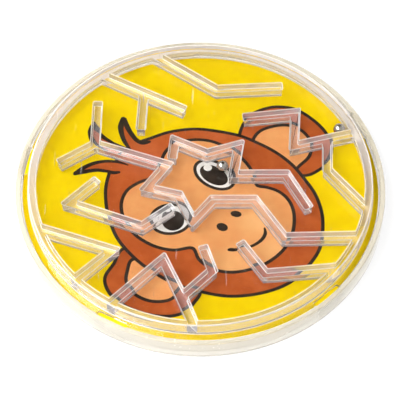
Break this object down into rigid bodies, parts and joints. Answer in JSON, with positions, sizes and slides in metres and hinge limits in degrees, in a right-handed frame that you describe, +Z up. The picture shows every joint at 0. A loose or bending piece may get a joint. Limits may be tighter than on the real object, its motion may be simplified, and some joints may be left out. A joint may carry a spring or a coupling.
{
  "type": "tilt maze game",
  "caption": "Round hand-held tilt maze: a clear snap-fit cover with moulded maze walls over a printed animal-face card, with loose steel balls.",
  "frame": {"origin": "centre of the disc, on the plane that the skirt's lower rim rests on", "axes": "+Z up out of the cover plate. +Y lies in the disc's plane, and the top of the printed face points about 43 degrees anticlockwise of it seen from above. +X is to the right of +Y seen from above."},
  "size_m": [0.06, 0.06, 0.0057],
  "materials": {
    "clear_cover": "clear polystyrene, polished, with light handling scratches",
    "clear_back": "clear polystyrene, slightly hazy",
    "printed_card": "offset-printed coated card",
    "ball_steel": "polished bearing steel"
  },
  "bodies": {
    "case": {"backing_plate": "clear_back", "cover_plate": "clear_cover", "cover_rim": "clear_cover", "picture_card": "printed_card", "maze_wall_a_frame": "clear_cover", "maze_wall_elbow": "clear_cover", "maze_wall_fork": "clear_cover", "maze_wall_hook": "clear_cover", "maze_wall_star": "clear_cover", "maze_wall_tee": "clear_cover", "maze_wall_vee": "clear_cover", "maze_wall_wedge": "clear_cover", "maze_wall_zigzag": "clear_cover"},
    "lane_ball": {"lane_ball": "ball_steel"},
    "pocket_ball": {"pocket_ball": "ball_steel"}
  },
  "joints": [
    {"name": "lane_ball_roll", "type": "hinge", "parent": "case", "child": "lane_ball", "pos_m": [0, 0, 0.00385], "axis": [0, 0, 1], "range_deg": [-0.5, 72]},
    {"name": "pocket_ball_roll", "type": "slide", "parent": "case", "child": "pocket_ball", "axis": [1, 0, 0], "range_m": [-0.0063, 0.0003]}
  ]
}
